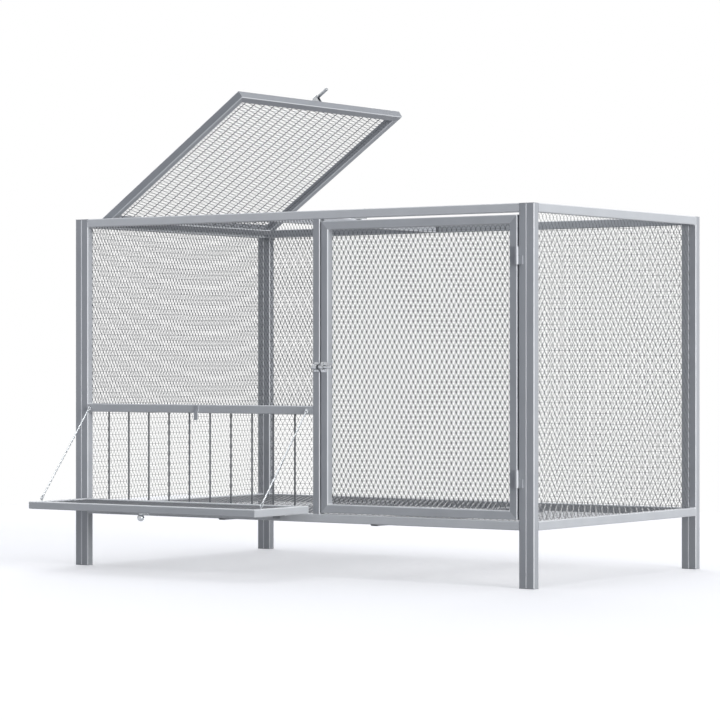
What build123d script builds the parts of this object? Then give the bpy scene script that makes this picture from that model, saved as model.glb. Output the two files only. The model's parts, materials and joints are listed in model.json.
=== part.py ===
from build123d import *
import os
from math import cos, hypot, radians, sin

# A chicken cage on legs: welded square tube, mesh walls, a side-hung door, a raised lid and an open feed flap.
# The origin is on the ground under the middle of the outline, flap included. The front faces -Y.

# Overall sizes
cage_width = 1200.0
cage_depth = 690.0
cage_height = 770.0
floor_height = 134.0  # ground to the top of the bottom rails
feed_rail_height = 360.0  # ground to the top of the rail over the feed bars
door_post_offset = 655.0  # left side to the door post
crossbar_offset = 512.0  # left side to the roof crossbar

# Square tube
tube = 18.0
flap_tube = 16.0
tube_wall = 1.2
tube_chamfer = 1.5
end_plate = 1.5  # plates that close the uprights at the top and at the ground
end_plate_inset = 0.4

# Mesh: one gap of the real sheet, which is drawn coarser where a sheet would have too many gaps
mesh_thickness = 2.0
mesh_recess = 2.0  # inner face of a tube to the mesh
mesh_short_way = 13.0
mesh_long_way = 24.0
mesh_strand = 1.8
most_gaps = 300

# Feed bars
bar_diameter = 4.0
bar_pitch = 57.0
bar_count = 10
first_bar_offset = 45.0  # left stile to the first bar
bar_lap = 14.0  # length welded to the feed rail

# Floor bearers
bearer_spread = 400.0

# Door
door_gap_bolt = 3.0
door_gap_hinge = 4.0
door_gap_top = 5.0
door_gap_bottom = 2.5
door_hinge_inset = 82.0  # end of the door to the middle of a hinge

# Lid
lid_gap_hinge = 4.0
lid_gap_free = 3.0
lid_gap_side = 3.0
lid_hinge_inset = 100.0
lid_open_angle = 34.5

# Flap, which is let down level
flap_gap_side = 2.5
flap_gap_bottom = 2.5
flap_gap_top = 18.0
flap_axis_drop = 4.0  # top of the bottom rail down to the hinge axis
flap_hinge_inset = 82.0

# Hinges: a barrel with a pin on the fixed half, a blind bore in the moving half
barrel_radius = 4.0
barrel_length = 18.0
barrel_face_gap = 0.3
barrel_gap = 0.2
pin_radius = 2.0
pin_length = 13.0
pin_clearance = 0.05
pin_tip_gap = 1.5
tab_length = 9.0  # length welded to the tube
tab_thickness = 3.0
tab_lift = 0.5  # gap to a tube that the tab only passes

# Door bolt
door_bolt_radius = 3.0
door_bolt_travel = 12.0
door_bolt_setback = 1.0  # edge of the door to the bolt's tip when drawn
door_guide_length = 11.0
door_guide_radius = 5.0
guide_plate_width = 16.0
guide_plate_height = 22.0
guide_plate = 1.5
guide_sink = 0.5
door_keeper_length = 12.0
door_keeper_radius = 5.8
lever_radius = 2.2
lever_length = 15.0
lever_lean = 25.0
lever_gap = 2.0  # guide to the lever when the bolt is thrown

# Lid bolt
lid_bolt_radius = 4.0
lid_bolt_height = 14.3  # lid's outer face to the bolt's axis
lid_bolt_projection = 28.0
lid_bolt_travel = 14.0
lid_guide_length = 12.0
lid_guide_setback = 3.0
lid_guide_radius = 7.0
lid_keeper_gap = 5.0  # bolt's tip to the keeper with the lid shut and the bolt drawn
lid_keeper_radius = 9.0
lid_keeper_thickness = 4.0
keeper_strap = 2.0
keeper_strap_lap = 14.0
stub_radius = 2.5
stub_length = 16.0
stub_gap = 3.0
bolt_clearance = 0.08
keeper_clearance = 1.4

# Flap knob and its keeper
tongue_gap = 0.4
tongue_thickness = 2.0
tongue_width = 8.0
tongue_length = 22.0
spindle_radius = 2.0
spindle_clearance = 0.05
spindle_head_radius = 3.5
spindle_head = 1.0
spindle_head_gap = 0.3
neck_radius = 3.5
ball_radius = 7.5
ball_height = 10.3  # flap's face to the middle of the ball
tab_plate = 2.0
flap_keeper_width = 9.0
tongue_room = 1.0
flap_pass_gap = 3.0  # shut flap to the keeper above it

# Stays of the flap: wire with a ring at each end, linked into eyes
stay_diameter = 3.5
ring_radius = 3.5
ring_wire_radius = 1.1
eye_height = 6.0
stay_edge_offset = 33.3  # free edge of the flap to the lower eyes

# Places that follow from the sizes
half_tube = tube / 2
hinge_stand_off = barrel_radius + barrel_face_gap
left_x = -cage_width / 2
right_x = cage_width / 2
inner_left_x = left_x + 2 * tube
inner_right_x = right_x - 2 * tube
inner_width = inner_right_x - inner_left_x
door_post_x = left_x + door_post_offset
crossbar_x = left_x + crossbar_offset
feed_width = door_post_x - inner_left_x
under_top_z = cage_height - tube
wall_height = under_top_z - floor_height
feed_rail_z = feed_rail_height - half_tube

flap_bottom_z = floor_height + flap_gap_bottom
flap_height = feed_rail_height - tube - flap_gap_top - flap_bottom_z
flap_width = feed_width - 2 * flap_gap_side
flap_edge_offset = flap_axis_drop + flap_gap_bottom
flap_reach = hinge_stand_off + flap_edge_offset + flap_height

front_y = (flap_reach - cage_depth) / 2
back_y = front_y + cage_depth
middle_y = (front_y + back_y) / 2
front_tube_y = front_y + half_tube
back_tube_y = back_y - half_tube
inner_depth = cage_depth - 2 * tube
roof_depth = cage_depth - 4 * tube

os.makedirs("parts", exist_ok=True)


def save(piece, name):
    piece.part.label = name
    export_step(piece.part, f"parts/{name}.step")


def upright(x, y, z):
    return Plane((x, y, z))


def along_x(x, y, z):
    return Plane((x, y, z), x_dir=(0, 0, 1), z_dir=(1, 0, 0))


def along_y(x, y, z):
    return Plane((x, y, z), x_dir=(1, 0, 0), z_dir=(0, 1, 0))


def moved(plane, x, y, z):
    """The same plane with its origin moved in its own axes."""
    return Plane(plane.from_local_coords((x, y, z)), x_dir=plane.x_dir, z_dir=plane.z_dir)


def square_tube(*runs):
    """Hollow square tubes with broken edges, each from a start plane along that plane's normal."""
    with BuildPart() as bars:
        for start, length in runs:
            with BuildSketch(start) as section:
                Rectangle(tube, tube)
                chamfer(section.vertices(), tube_chamfer)
                Rectangle(tube - 2 * tube_wall, tube - 2 * tube_wall, mode=Mode.SUBTRACT)
            extrude(amount=length)
    return bars


def mitred_tube(face, length, reach, size):
    """A tube with mitred ends along the face's X axis, its outer edge at reach along the face's Y axis."""

    def outline(inset):
        outer = length / 2 - inset
        inner = length / 2 - size + inset
        return [
            (-outer, reach - inset),
            (outer, reach - inset),
            (inner, reach - size + inset),
            (-inner, reach - size + inset),
        ]

    with BuildPart() as bar:
        with BuildSketch(face):
            Polygon(*outline(0), align=None)
        extrude(amount=-size)
        chamfer(bar.edges().filter_by(Axis(face.origin, face.x_dir)), tube_chamfer)
        with BuildSketch(face.offset(-tube_wall)):
            Polygon(*outline(tube_wall), align=None)
        extrude(amount=2 * tube_wall - size, mode=Mode.SUBTRACT)
    return bar


def panel_sides(face, width, height):
    """For each side of a panel: its face turned so that the side is at the top, its length and its reach."""

    def turned(x_dir):
        return Plane(face.origin, x_dir=x_dir, z_dir=face.z_dir)

    return {
        "top": (turned(face.x_dir), width, height / 2),
        "bottom": (turned(-face.x_dir), width, height / 2),
        "left": (turned(face.y_dir), height, width / 2),
        "right": (turned(-face.y_dir), height, width / 2),
    }


def gap_counts(width, height, coarseness):
    columns = max(1, round(width / (mesh_short_way * coarseness)))
    rows = max(1, round(height / (mesh_long_way * coarseness)))
    return columns, rows


def mesh_sheet(face, width, height):
    """A sheet of diamond gaps, from the face along its normal, as fine as the number of gaps allows."""
    coarseness = 1
    columns, rows = gap_counts(width, height, coarseness)
    while columns * rows + (columns + 1) * (rows + 1) > most_gaps:
        coarseness += 1
        columns, rows = gap_counts(width, height, coarseness)
    short_way = width / columns
    long_way = height / rows
    strand = mesh_strand * coarseness
    open_share = 1 - strand * hypot(short_way, long_way) / (short_way * long_way)
    half_short = short_way / 2 * open_share
    half_long = long_way / 2 * open_share
    gap = [(half_short, 0), (0, half_long), (-half_short, 0), (0, -half_long)]
    with BuildSketch(face) as gaps:
        with GridLocations(short_way, long_way, columns, rows):
            Polygon(*gap)
        with GridLocations(short_way, long_way, columns + 1, rows + 1):
            Polygon(*gap)
        Rectangle(width - 2 * strand, height - 2 * strand, mode=Mode.INTERSECT)
    with BuildPart() as sheet:
        with BuildSketch(face):
            Rectangle(width, height)
            add(gaps.sketch_local, mode=Mode.SUBTRACT)
        extrude(amount=mesh_thickness)
    return sheet


def panel_mesh(face, width, height, size):
    """The mesh inside a panel's tubes, near their inner faces."""
    inside = moved(face, 0, 0, mesh_recess - size)
    return mesh_sheet(inside, width - 2 * size, height - 2 * size)


def hinge_tab(side, start):
    """Section of a hinge tab: it leaves the barrel clear of the tubes and lies on its own from start on."""
    foot = -hinge_stand_off
    end = start + tab_length
    points = [(0, foot + tab_lift), (start, foot + tab_lift), (start, foot), (end, foot)]
    points += [(end, foot + tab_thickness), (0, foot + tab_thickness)]
    return [(side * x, y) for x, y in points]


def fixed_hinges(axis, spread, start):
    """Lower halves of two hinges on the axis plane's normal, with their pins. The tabs point along -X."""
    with BuildPart() as halves:
        for centre in (-spread / 2, spread / 2):
            with BuildSketch(axis.offset(centre - barrel_length)):
                Circle(barrel_radius)
                Polygon(*hinge_tab(-1, start), align=None)
            extrude(amount=barrel_length)
            with BuildSketch(axis.offset(centre)):
                Circle(pin_radius)
            extrude(amount=pin_length)
    return halves


def moving_hinges(axis, spread, start):
    """Upper halves of two hinges, with blind bores for the pins. The tabs point along +X."""
    with BuildPart() as halves:
        for centre in (-spread / 2, spread / 2):
            foot = axis.offset(centre + barrel_gap)
            with BuildSketch(foot):
                Circle(barrel_radius)
                Polygon(*hinge_tab(1, start), align=None)
            extrude(amount=barrel_length)
            with BuildSketch(foot):
                Circle(pin_radius + pin_clearance)
            extrude(amount=pin_length + pin_tip_gap, mode=Mode.SUBTRACT)
    return halves


def bolt_loop(foot, length, height, radius, bore):
    """A block with a round top and a bore, along the foot plane's normal. Its Y axis points away from the tube."""
    with BuildPart() as loop:
        with BuildSketch(foot):
            with Locations((0, height / 2)):
                Rectangle(2 * radius, height)
            with Locations((0, height)):
                Circle(radius)
                Circle(bore, mode=Mode.SUBTRACT)
        extrude(amount=length)
    return loop


# Uprights: the corner posts of the side panels, and the stiles of the front and back panels beside them
upright_length = cage_height - 2 * end_plate
post_xs = {"left": left_x + half_tube, "right": right_x - half_tube}
stile_xs = {"left": inner_left_x - half_tube, "right": inner_right_x + half_tube}
upright_ys = {"front": front_tube_y, "back": back_tube_y}
upright_places = {}
for wall, y in upright_ys.items():
    for side in ("left", "right"):
        upright_places[f"{side}_{wall}_post"] = (post_xs[side], y)
        upright_places[f"{wall}_{side}_stile"] = (stile_xs[side], y)
for name, (x, y) in upright_places.items():
    save(square_tube((upright(x, y, end_plate), upright_length)), name)

# Plates that close both ends of each upright
plate_size = tube - 2 * end_plate_inset
for name, level in (("foot_plates", 0), ("post_caps", cage_height - end_plate)):
    with BuildPart() as plates:
        with BuildSketch(Plane.XY.offset(level)):
            with Locations(*upright_places.values()):
                Rectangle(plate_size, plate_size)
        extrude(amount=end_plate)
    save(plates, name)

# Rails of the front and back panels
rail_levels = {"top": cage_height - half_tube, "bottom": floor_height - half_tube}
for level, z in rail_levels.items():
    for wall, y in upright_ys.items():
        save(square_tube((along_x(inner_left_x, y, z), inner_width)), f"{wall}_{level}_rail")
    for side, x in post_xs.items():
        save(square_tube((along_y(x, front_y + tube, z), inner_depth)), f"{side}_{level}_rail")

# Feed rail and door post, which divide the front
save(square_tube((along_x(inner_left_x, front_tube_y, feed_rail_z), feed_width)), "feed_rail")
door_post_foot = upright(door_post_x + half_tube, front_tube_y, floor_height)
save(square_tube((door_post_foot, wall_height)), "door_post")

# Roof: a frame round the lid, with long rails inside the front and back walls, an end rail and a crossbar
roof_z = rail_levels["top"]
roof_front_y = front_y + 2 * tube
roof_length = crossbar_offset
roof_long_rails = square_tube(
    (along_x(left_x + tube, roof_front_y - half_tube, roof_z), roof_length),
    (along_x(left_x + tube, back_y - 2 * tube + half_tube, roof_z), roof_length),
)
save(roof_long_rails, "roof_long_rails")
save(square_tube((along_y(stile_xs["left"], roof_front_y, roof_z), roof_depth)), "roof_end_rail")
save(square_tube((along_y(crossbar_x + half_tube, roof_front_y, roof_z), roof_depth)), "roof_crossbar")

# Floor: mesh between the bottom rails, carried by two bearers
floor_mesh_top = floor_height - mesh_recess
floor_mesh_z = floor_mesh_top - mesh_thickness
bearer_z = floor_mesh_z - half_tube
floor_bearers = square_tube(
    (along_y(-bearer_spread / 2, front_y + tube, bearer_z), inner_depth),
    (along_y(bearer_spread / 2, front_y + tube, bearer_z), inner_depth),
)
save(floor_bearers, "floor_bearers")
floor_face = upright(0, middle_y, floor_mesh_z)
save(mesh_sheet(floor_face, cage_width - 2 * tube, inner_depth), "floor_mesh")

# Wall mesh, near the inner faces of its tubes
wall_z = (floor_height + under_top_z) / 2
inward = {
    "left": Plane((left_x + tube, middle_y, wall_z), x_dir=(0, 1, 0), z_dir=(1, 0, 0)),
    "right": Plane((right_x - tube, middle_y, wall_z), x_dir=(0, -1, 0), z_dir=(-1, 0, 0)),
    "back": Plane((0, back_y - tube, wall_z), x_dir=(-1, 0, 0), z_dir=(0, -1, 0)),
}
mesh_start = -mesh_recess - mesh_thickness
for side in ("left", "right"):
    save(mesh_sheet(inward[side].offset(mesh_start), inner_depth, wall_height), f"{side}_mesh")
save(mesh_sheet(inward["back"].offset(mesh_start), inner_width, wall_height), "back_mesh")

front_mesh_x = inner_left_x + feed_width / 2
front_mesh_z = (feed_rail_height + under_top_z) / 2
front_inward = Plane((front_mesh_x, front_y + tube, front_mesh_z), x_dir=(1, 0, 0), z_dir=(0, 1, 0))
front_mesh_height = under_top_z - feed_rail_height
save(mesh_sheet(front_inward.offset(mesh_start), feed_width, front_mesh_height), "front_mesh")

# Feed bars, standing on the floor mesh and welded to the back of the feed rail
bar_top_z = feed_rail_height - tube + bar_lap
bar_middle_x = inner_left_x + first_bar_offset + bar_pitch * (bar_count - 1) / 2
with BuildPart() as feed_bars:
    with BuildSketch(upright(bar_middle_x, front_y + tube + bar_diameter / 2, floor_mesh_top)):
        with GridLocations(bar_pitch, bar_pitch, bar_count, 1):
            Circle(bar_diameter / 2)
    extrude(amount=bar_top_z - floor_mesh_top)
save(feed_bars, "feed_bars")

# Door: a mitred frame with mesh, hung on the right
door_left_x = door_post_x + tube + door_gap_bolt
door_width = inner_right_x - door_gap_hinge - door_left_x
door_bottom_z = floor_height + door_gap_bottom
door_height = under_top_z - door_gap_top - door_bottom_z
door_z = door_bottom_z + door_height / 2
door_face = Plane((door_left_x + door_width / 2, front_y, door_z), x_dir=(1, 0, 0), z_dir=(0, -1, 0))
door_names = {"top": "door_top_rail", "bottom": "door_bottom_rail"}
door_names |= {"left": "door_bolt_stile", "right": "door_hinge_stile"}
for side, (face, length, reach) in panel_sides(door_face, door_width, door_height).items():
    save(mitred_tube(face, length, reach, tube), door_names[side])
save(panel_mesh(door_face, door_width, door_height, tube), "door_mesh")

door_axis_x = inner_right_x - door_gap_hinge / 2
door_axis = Plane((door_axis_x, front_y - hinge_stand_off, door_z), x_dir=(-1, 0, 0), z_dir=(0, 0, 1))
door_hinge_spread = door_height - 2 * door_hinge_inset
door_tab_start = door_gap_hinge / 2 + tube_chamfer
save(fixed_hinges(door_axis, door_hinge_spread, door_tab_start), "door_hinge_pins")
save(moving_hinges(door_axis, door_hinge_spread, door_tab_start), "door_hinge_sockets")

# Lid: a mitred frame with mesh, raised about the hinges along its left end
lid_length = crossbar_x - lid_gap_free - inner_left_x - lid_gap_hinge
lid_width = roof_depth - 2 * lid_gap_side
lid_rise = radians(lid_open_angle)
lid_along = Vector(cos(lid_rise), 0, sin(lid_rise))
lid_out = Vector(-sin(lid_rise), 0, cos(lid_rise))
lid_origin = (inner_left_x + lid_gap_hinge / 2, middle_y, cage_height + hinge_stand_off)
lid_swing = Plane(lid_origin, x_dir=lid_along, z_dir=lid_out)
lid_free_edge = lid_gap_hinge / 2 + lid_length
lid_face = moved(lid_swing, lid_free_edge - lid_length / 2, 0, -hinge_stand_off)
lid_sides = panel_sides(lid_face, lid_length, lid_width)
with BuildPart() as lid_side_rails:
    add(mitred_tube(*lid_sides["top"], tube).part)
    mirror(about=Plane.XZ.offset(-middle_y))
save(lid_side_rails, "lid_side_rails")
with BuildPart() as lid_end_rails:
    add(mitred_tube(*lid_sides["right"], tube).part)
    mirror(about=Plane(lid_face.origin, z_dir=lid_along))
save(lid_end_rails, "lid_end_rails")
save(panel_mesh(lid_face, lid_length, lid_width, tube), "lid_mesh")

lid_hinge_spread = lid_width - 2 * lid_hinge_inset
lid_tab_start = lid_gap_hinge / 2 + tube_chamfer
lid_shut_axis = Plane(lid_origin, x_dir=(1, 0, 0), z_dir=(0, -1, 0))
lid_open_axis = Plane(lid_origin, x_dir=lid_along, z_dir=(0, -1, 0))
save(fixed_hinges(lid_shut_axis, lid_hinge_spread, lid_tab_start), "lid_hinge_pins")
save(moving_hinges(lid_open_axis, lid_hinge_spread, lid_tab_start), "lid_hinge_sockets")

# Flap: a lighter mitred frame with mesh, let down level about the hinges on the bottom rail
flap_x = inner_left_x + feed_width / 2
flap_origin = (flap_x, front_y - hinge_stand_off, floor_height - flap_axis_drop)
flap_swing = Plane(flap_origin, x_dir=(1, 0, 0), z_dir=(0, 0, -1))
flap_face = moved(flap_swing, 0, flap_edge_offset + flap_height / 2, -hinge_stand_off)
flap_sides = panel_sides(flap_face, flap_width, flap_height)
with BuildPart() as flap_side_rails:
    add(mitred_tube(*flap_sides["left"], flap_tube).part)
    mirror(about=Plane.YZ.offset(flap_x))
save(flap_side_rails, "flap_side_rails")

knob_face = moved(flap_face, 0, flap_height / 2 - flap_tube / 2, 0)
with BuildPart() as flap_long_rails:
    add(mitred_tube(*flap_sides["top"], flap_tube).part)
    mirror(about=Plane(flap_face.origin, z_dir=(0, 1, 0)))
    with Locations(knob_face):
        Hole(spindle_radius + spindle_clearance, depth=2 * tube_wall)
save(flap_long_rails, "flap_long_rails")
save(panel_mesh(flap_face, flap_width, flap_height, flap_tube), "flap_mesh")

flap_hinge_spread = flap_width - 2 * flap_hinge_inset
flap_shut_axis = Plane(flap_origin, x_dir=(0, 0, 1), z_dir=(1, 0, 0))
flap_open_axis = Plane(flap_origin, x_dir=(0, -1, 0), z_dir=(1, 0, 0))
save(fixed_hinges(flap_shut_axis, flap_hinge_spread, 0), "flap_hinge_pins")
save(moving_hinges(flap_open_axis, flap_hinge_spread, flap_edge_offset + tube_chamfer), "flap_hinge_sockets")

# Door bolt, drawn clear of its keeper so that the door can swing
door_bolt_height = guide_plate + door_guide_radius - guide_sink
guide_foot = Plane((door_left_x + door_bolt_setback, front_y, door_z), x_dir=(0, 0, 1), z_dir=(1, 0, 0))
guide_bore = door_bolt_radius + bolt_clearance
with BuildPart() as door_bolt_guide:
    add(bolt_loop(guide_foot, door_guide_length, door_bolt_height, door_guide_radius, guide_bore).part)
    with BuildSketch(moved(door_face, door_bolt_setback - door_width / 2, 0, 0)):
        Rectangle(guide_plate_width, guide_plate_height, align=(Align.MIN, Align.CENTER))
    extrude(amount=guide_plate)
save(door_bolt_guide, "door_bolt_guide")

lever_x = door_guide_length + door_bolt_travel + lever_gap + lever_radius
bolt_tip = moved(guide_foot, 0, door_bolt_height, 0)
lever_rise = radians(lever_lean)
lever_root = Plane(bolt_tip.from_local_coords((0, 0, lever_x)), z_dir=(sin(lever_rise), 0, cos(lever_rise)))
with BuildPart() as door_bolt:
    with BuildSketch(bolt_tip):
        Circle(door_bolt_radius)
    extrude(amount=lever_x + 2 * lever_radius)
    with BuildSketch(lever_root):
        Circle(lever_radius)
    extrude(amount=lever_length)
save(door_bolt, "door_bolt")

keeper_x = door_post_x + tube - tube_chamfer - door_keeper_length
keeper_foot = Plane((keeper_x, front_y, door_z), x_dir=(0, 0, 1), z_dir=(1, 0, 0))
keeper_bore = door_bolt_radius + keeper_clearance
door_keeper = bolt_loop(keeper_foot, door_keeper_length, door_bolt_height, door_keeper_radius, keeper_bore)
save(door_keeper, "door_keeper")

# Lid bolt on the lid's outer face, and its keeper on a strap from the crossbar
lid_guide_end = lid_free_edge - lid_guide_setback
lid_guide_start = lid_guide_end - lid_guide_length
lid_section = Plane(lid_face.origin, x_dir=(0, 1, 0), z_dir=lid_along)
lid_guide_foot = lid_section.offset(lid_guide_start - lid_free_edge + lid_length / 2)
lid_bolt_guide = bolt_loop(
    lid_guide_foot, lid_guide_length, lid_bolt_height, lid_guide_radius, lid_bolt_radius + bolt_clearance
)
save(lid_bolt_guide, "lid_bolt_guide")

stub_setback = lid_bolt_travel + stub_gap + stub_radius  # guide back to the stub's axis
bolt_tail = stub_setback + 2 * stub_radius
lid_bolt_tail = moved(lid_guide_foot, 0, lid_bolt_height, -bolt_tail)
lid_bolt_length = bolt_tail + lid_free_edge - lid_guide_start + lid_bolt_projection
stub_root = Plane(lid_guide_foot.from_local_coords((0, lid_bolt_height, -stub_setback)), z_dir=lid_out)
with BuildPart() as lid_bolt:
    with BuildSketch(lid_bolt_tail):
        Circle(lid_bolt_radius)
    extrude(amount=lid_bolt_length)
    with BuildSketch(stub_root):
        Circle(stub_radius)
    extrude(amount=stub_length)
save(lid_bolt, "lid_bolt")

lid_keeper_x = lid_origin[0] + lid_free_edge + lid_bolt_projection + lid_keeper_gap
lid_keeper_foot = Plane((lid_keeper_x, middle_y, cage_height), x_dir=(0, 1, 0), z_dir=(1, 0, 0))
strap_left_x = crossbar_x + tube - keeper_strap_lap
strap_length = lid_keeper_x + lid_keeper_thickness - strap_left_x
lid_keeper_bore = lid_bolt_radius + keeper_clearance
with BuildPart() as lid_keeper:
    add(bolt_loop(lid_keeper_foot, lid_keeper_thickness, lid_bolt_height, lid_keeper_radius, lid_keeper_bore).part)
    with BuildSketch(upright(strap_left_x, middle_y, cage_height)):
        Rectangle(strap_length, 2 * lid_keeper_radius, align=(Align.MIN, Align.CENTER))
    extrude(amount=keeper_strap)
save(lid_keeper, "lid_keeper")

# Flap knob: a ball and a tongue on a spindle that turns in the flap's free rail
with BuildPart() as flap_knob:
    with BuildSketch(knob_face.offset(-tube_wall - spindle_head_gap - spindle_head)):
        Circle(spindle_head_radius)
    extrude(amount=spindle_head)
    with BuildSketch(knob_face.offset(-tube_wall - spindle_head_gap)):
        Circle(spindle_radius)
    extrude(amount=tube_wall + spindle_head_gap + tongue_gap)
    with BuildSketch(knob_face.offset(tongue_gap)):
        Circle(tongue_width / 2)
        Rectangle(tongue_length, tongue_width, align=(Align.MIN, Align.CENTER))
    extrude(amount=tongue_thickness)
    with BuildSketch(knob_face.offset(tongue_gap + tongue_thickness)):
        Circle(neck_radius)
    extrude(amount=ball_height - tongue_gap - tongue_thickness)
    with Locations(knob_face.offset(ball_height)):
        Sphere(ball_radius)
save(flap_knob, "flap_knob")

# Keeper of the tongue: a plate on the feed rail, set out over the tongue below it
keeper_out = tongue_gap + tongue_thickness + tongue_room
keeper_top = feed_rail_height - tube_chamfer
keeper_step = feed_rail_height - tube + tube_chamfer
keeper_bottom = flap_bottom_z + flap_height + flap_pass_gap
with BuildPart() as flap_keeper:
    with BuildSketch(Plane((flap_x, front_y, 0), x_dir=(0, -1, 0), z_dir=(-1, 0, 0))):
        with BuildLine():
            Polyline(
                (0, keeper_top),
                (tab_plate, keeper_top),
                (tab_plate, keeper_step + tab_plate),
                (keeper_out + tab_plate, keeper_step + tab_plate),
                (keeper_out + tab_plate, keeper_bottom),
                (keeper_out, keeper_bottom),
                (keeper_out, keeper_step),
                (0, keeper_step),
                close=True,
            )
        make_face()
    extrude(amount=flap_keeper_width / 2, both=True)
save(flap_keeper, "flap_keeper")

# Stays: an eye on the feed rail, an eye on the flap's side rail, and a wire with rings linked into both
stay_xs = (flap_x - flap_width / 2 + flap_tube / 2, flap_x + flap_width / 2 - flap_tube / 2)
upper_eye_y = front_y - eye_height
lower_eye_y = front_y - flap_reach + stay_edge_offset
flap_top_z = flap_face.origin.Z + flap_tube
lower_eye_z = flap_top_z + eye_height
eye_neck = eye_height - ring_radius
with BuildPart() as stay_upper_eyes:
    for x in stay_xs:
        with BuildSketch(Plane((x, front_y, feed_rail_z), z_dir=(0, -1, 0))):
            Circle(ring_wire_radius)
        extrude(amount=eye_neck)
        with Locations(along_x(x, upper_eye_y, feed_rail_z)):
            Torus(ring_radius, ring_wire_radius)
save(stay_upper_eyes, "stay_upper_eyes")
with BuildPart() as stay_lower_eyes:
    for x in stay_xs:
        with BuildSketch(upright(x, lower_eye_y, flap_top_z)):
            Circle(ring_wire_radius)
        extrude(amount=eye_neck)
        with Locations(along_x(x, lower_eye_y, lower_eye_z)):
            Torus(ring_radius, ring_wire_radius)
save(stay_lower_eyes, "stay_lower_eyes")

stay_run = Vector(0, lower_eye_y - upper_eye_y, lower_eye_z - feed_rail_z)
ring_turn = stay_run.cross(Vector(1, 0, 0))
for name, x in zip(("left_stay", "right_stay"), stay_xs):
    stay_line = Plane((x, upper_eye_y, feed_rail_z), x_dir=(1, 0, 0), z_dir=stay_run)
    with BuildPart() as stay:
        with BuildSketch(stay_line.offset(2 * ring_radius)):
            Circle(stay_diameter / 2)
        extrude(amount=stay_run.length - 4 * ring_radius)
        for distance in (ring_radius, stay_run.length - ring_radius):
            with Locations(Plane(stay_line.offset(distance).origin, x_dir=(1, 0, 0), z_dir=ring_turn)):
                Torus(ring_radius, ring_wire_radius)
    save(stay, name)
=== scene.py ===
# %% [markdown]
# This lesson dresses a steel chicken cage. The CAD model gives every tube, hinge and bolt its place and
# its motion. Blender adds what a drawing of solids leaves out: the cut and stretched mesh, the welds, the
# bright fittings and the finish of each metal. The model is loaded first.

import json
from math import ceil, cos, floor, pi, radians, sin

import bmesh
import bpy
from mathutils import Matrix, Vector


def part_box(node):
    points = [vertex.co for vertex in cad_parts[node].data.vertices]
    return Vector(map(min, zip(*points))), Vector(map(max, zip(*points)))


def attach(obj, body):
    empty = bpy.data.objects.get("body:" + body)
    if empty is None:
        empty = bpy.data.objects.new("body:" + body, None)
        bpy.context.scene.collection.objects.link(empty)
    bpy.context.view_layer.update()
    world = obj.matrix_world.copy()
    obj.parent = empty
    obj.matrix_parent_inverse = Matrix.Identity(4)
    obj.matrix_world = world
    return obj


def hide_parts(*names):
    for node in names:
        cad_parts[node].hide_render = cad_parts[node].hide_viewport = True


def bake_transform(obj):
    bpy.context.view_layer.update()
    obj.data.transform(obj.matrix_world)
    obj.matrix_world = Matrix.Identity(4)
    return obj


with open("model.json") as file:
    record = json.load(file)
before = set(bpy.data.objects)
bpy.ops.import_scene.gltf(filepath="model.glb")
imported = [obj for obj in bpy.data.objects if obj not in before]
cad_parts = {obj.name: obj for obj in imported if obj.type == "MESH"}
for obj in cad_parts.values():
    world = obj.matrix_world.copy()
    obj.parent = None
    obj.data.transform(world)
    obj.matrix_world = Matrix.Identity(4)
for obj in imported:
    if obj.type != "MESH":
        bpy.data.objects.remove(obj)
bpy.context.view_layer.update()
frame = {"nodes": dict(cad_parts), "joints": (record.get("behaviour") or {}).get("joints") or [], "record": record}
bpy.ops.object.select_all(action="DESELECT")

# %% [markdown]
# The camera stands where the photographer stood: far off, a little over half as high as the cage's walls,
# and turned about 35 degrees to the front. It looks level, which keeps the uprights parallel, and its long
# lens keeps the perspective mild. The place and the lens were worked out from the straight edges of the
# tubes.

# %% Camera
camera_place = (3.5738, -5.0714, 0.453)
camera_pitch = radians(90.034)
camera_turn = radians(35.146)
sensor_mm = 36
lens_mm = 142.23
bpy.ops.object.camera_add(location=camera_place, rotation=(camera_pitch, 0, camera_turn))
camera = bpy.context.object
camera.name = "camera"
camera.data.sensor_width = sensor_mm
camera.data.lens = lens_mm
bpy.context.scene.camera = camera
print("camera", tuple(round(n, 3) for n in camera.location))

# %% [markdown]
# Colours are written as the sRGB codes that a colour picker shows, and shaders work with linear light, so
# one function converts them. Another adds a node, fills in its settings and plugs other nodes into it.
# With these two, each material below reads like a recipe. The floor and the world of the studio also tell
# what is seen directly from light that only bounces on, so they share a function for that.

# %% Colour and node helpers


def colour(code):
    """Turns an sRGB hex code into a linear colour."""
    levels = [int(code[i : i + 2], 16) / 255 for i in (0, 2, 4)]
    linear = [n / 12.92 if n <= 0.04045 else ((n + 0.055) / 1.055) ** 2.4 for n in levels]
    return (*linear, 1)


def add_node(tree, kind, settings=None, links=None):
    """Adds a node. Settings are its options or the values of its sockets, and links feed its sockets."""
    node = tree.nodes.new(kind)
    for name, value in (settings or {}).items():
        if isinstance(name, int) or name in node.inputs:
            node.inputs[name].default_value = value
        else:
            setattr(node, name, value)
    for name, source in (links or {}).items():
        tree.links.new(source, node.inputs[name])
    return node


def new_material(name):
    """Adds a material with only its output node, and gives it back with its tree and that node."""
    material = bpy.data.materials.new(name)
    material.use_nodes = True
    tree = material.node_tree
    tree.nodes.clear()
    return material, tree, tree.nodes.new("ShaderNodeOutputMaterial")


def seen_directly(tree):
    """Gives a socket that is 1 for what camera and reflections see, and 0 for light that bounces."""
    paths = add_node(tree, "ShaderNodeLightPath")
    seen = add_node(
        tree,
        "ShaderNodeMath",
        {"operation": "MAXIMUM"},
        {0: paths.outputs["Is Camera Ray"], 1: paths.outputs["Is Glossy Ray"]},
    )
    return seen.outputs[0]


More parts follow.
